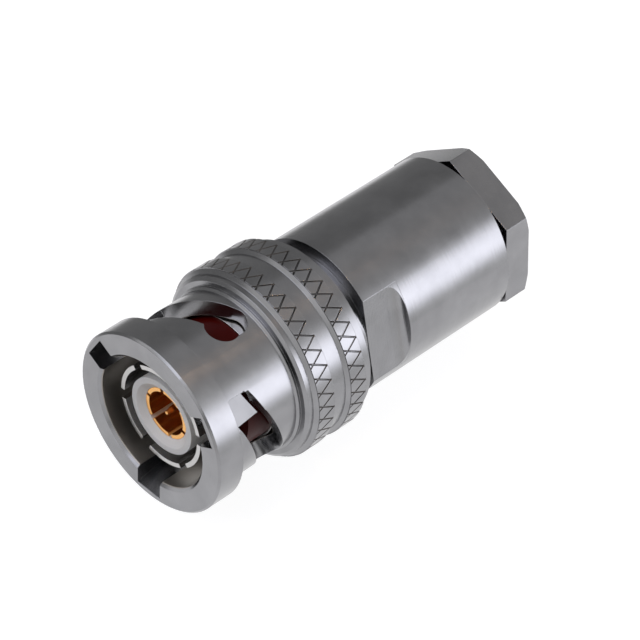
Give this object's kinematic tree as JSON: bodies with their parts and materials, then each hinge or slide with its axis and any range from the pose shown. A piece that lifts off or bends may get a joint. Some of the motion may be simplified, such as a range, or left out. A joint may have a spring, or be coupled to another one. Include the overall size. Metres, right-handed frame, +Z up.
{
  "type": "triaxial twist-lock plug",
  "caption": "Triaxial cable plug with a turning cam-slot coupling nut, slotted contacts, wrench flats and a hexagonal cable clamp nut.",
  "frame": {"origin": "on the plug's axis, in the plane of the coupling nut's front face", "axes": "+X along the axis from the mating face to the cable end, +Z up with one flat of the hexagonal clamp nut facing down"},
  "size_m": [0.0313, 0.0144, 0.0144],
  "materials": {
    "satin_nickel": "satin nickel plate over brass",
    "spring_steel": "bright",
    "gold_plate": "gold plate",
    "white_ptfe": "waxy white",
    "red_silicone": "matte dark red",
    "black_rubber": "matte black"
  },
  "bodies": {
    "plug_body": {"front_shell": "satin_nickel", "rear_shell": "satin_nickel", "face_seal": "red_silicone", "outer_insulator": "white_ptfe", "intermediate_contact": "gold_plate", "inner_insulator": "white_ptfe", "centre_pin": "gold_plate", "rear_insulator": "white_ptfe", "inner_ferrule": "satin_nickel", "outer_clamp": "satin_nickel", "cable_gasket": "black_rubber", "wave_washer_front": "spring_steel", "wave_washer_rear": "spring_steel"},
    "spring_seat": {"thrust_washer": "spring_steel"},
    "nut": {"coupling_nut": "satin_nickel"},
    "clamp_seat": {"slip_washer": "satin_nickel"},
    "clamp": {"clamp_nut": "satin_nickel"}
  },
  "joints": [
    {"name": "nut_spring_travel", "type": "slide", "parent": "plug_body", "child": "spring_seat", "axis": [-1, 0, 0], "range_m": [0, 0.0005], "stiffness_N_per_m": 5000, "springref_m": -0.0004, "deforming": ["wave_washer_front", "wave_washer_rear"]},
    {"name": "nut_turn", "type": "hinge", "parent": "spring_seat", "child": "nut", "pos_m": [0.0096, 0, 0], "axis": [1, 0, 0], "continuous": true},
    {"name": "clamp_travel", "type": "slide", "parent": "plug_body", "child": "clamp_seat", "axis": [1, 0, 0], "range_m": [0, 0.002]},
    {"name": "clamp_turn", "type": "hinge", "parent": "clamp_seat", "child": "clamp", "pos_m": [0.03, 0, 0], "axis": [1, 0, 0], "range_deg": [0, 961]}
  ],
  "couplings": [
    {"joint": "clamp_turn", "follows": "clamp_travel", "rad_per_m": 8377.6}
  ]
}
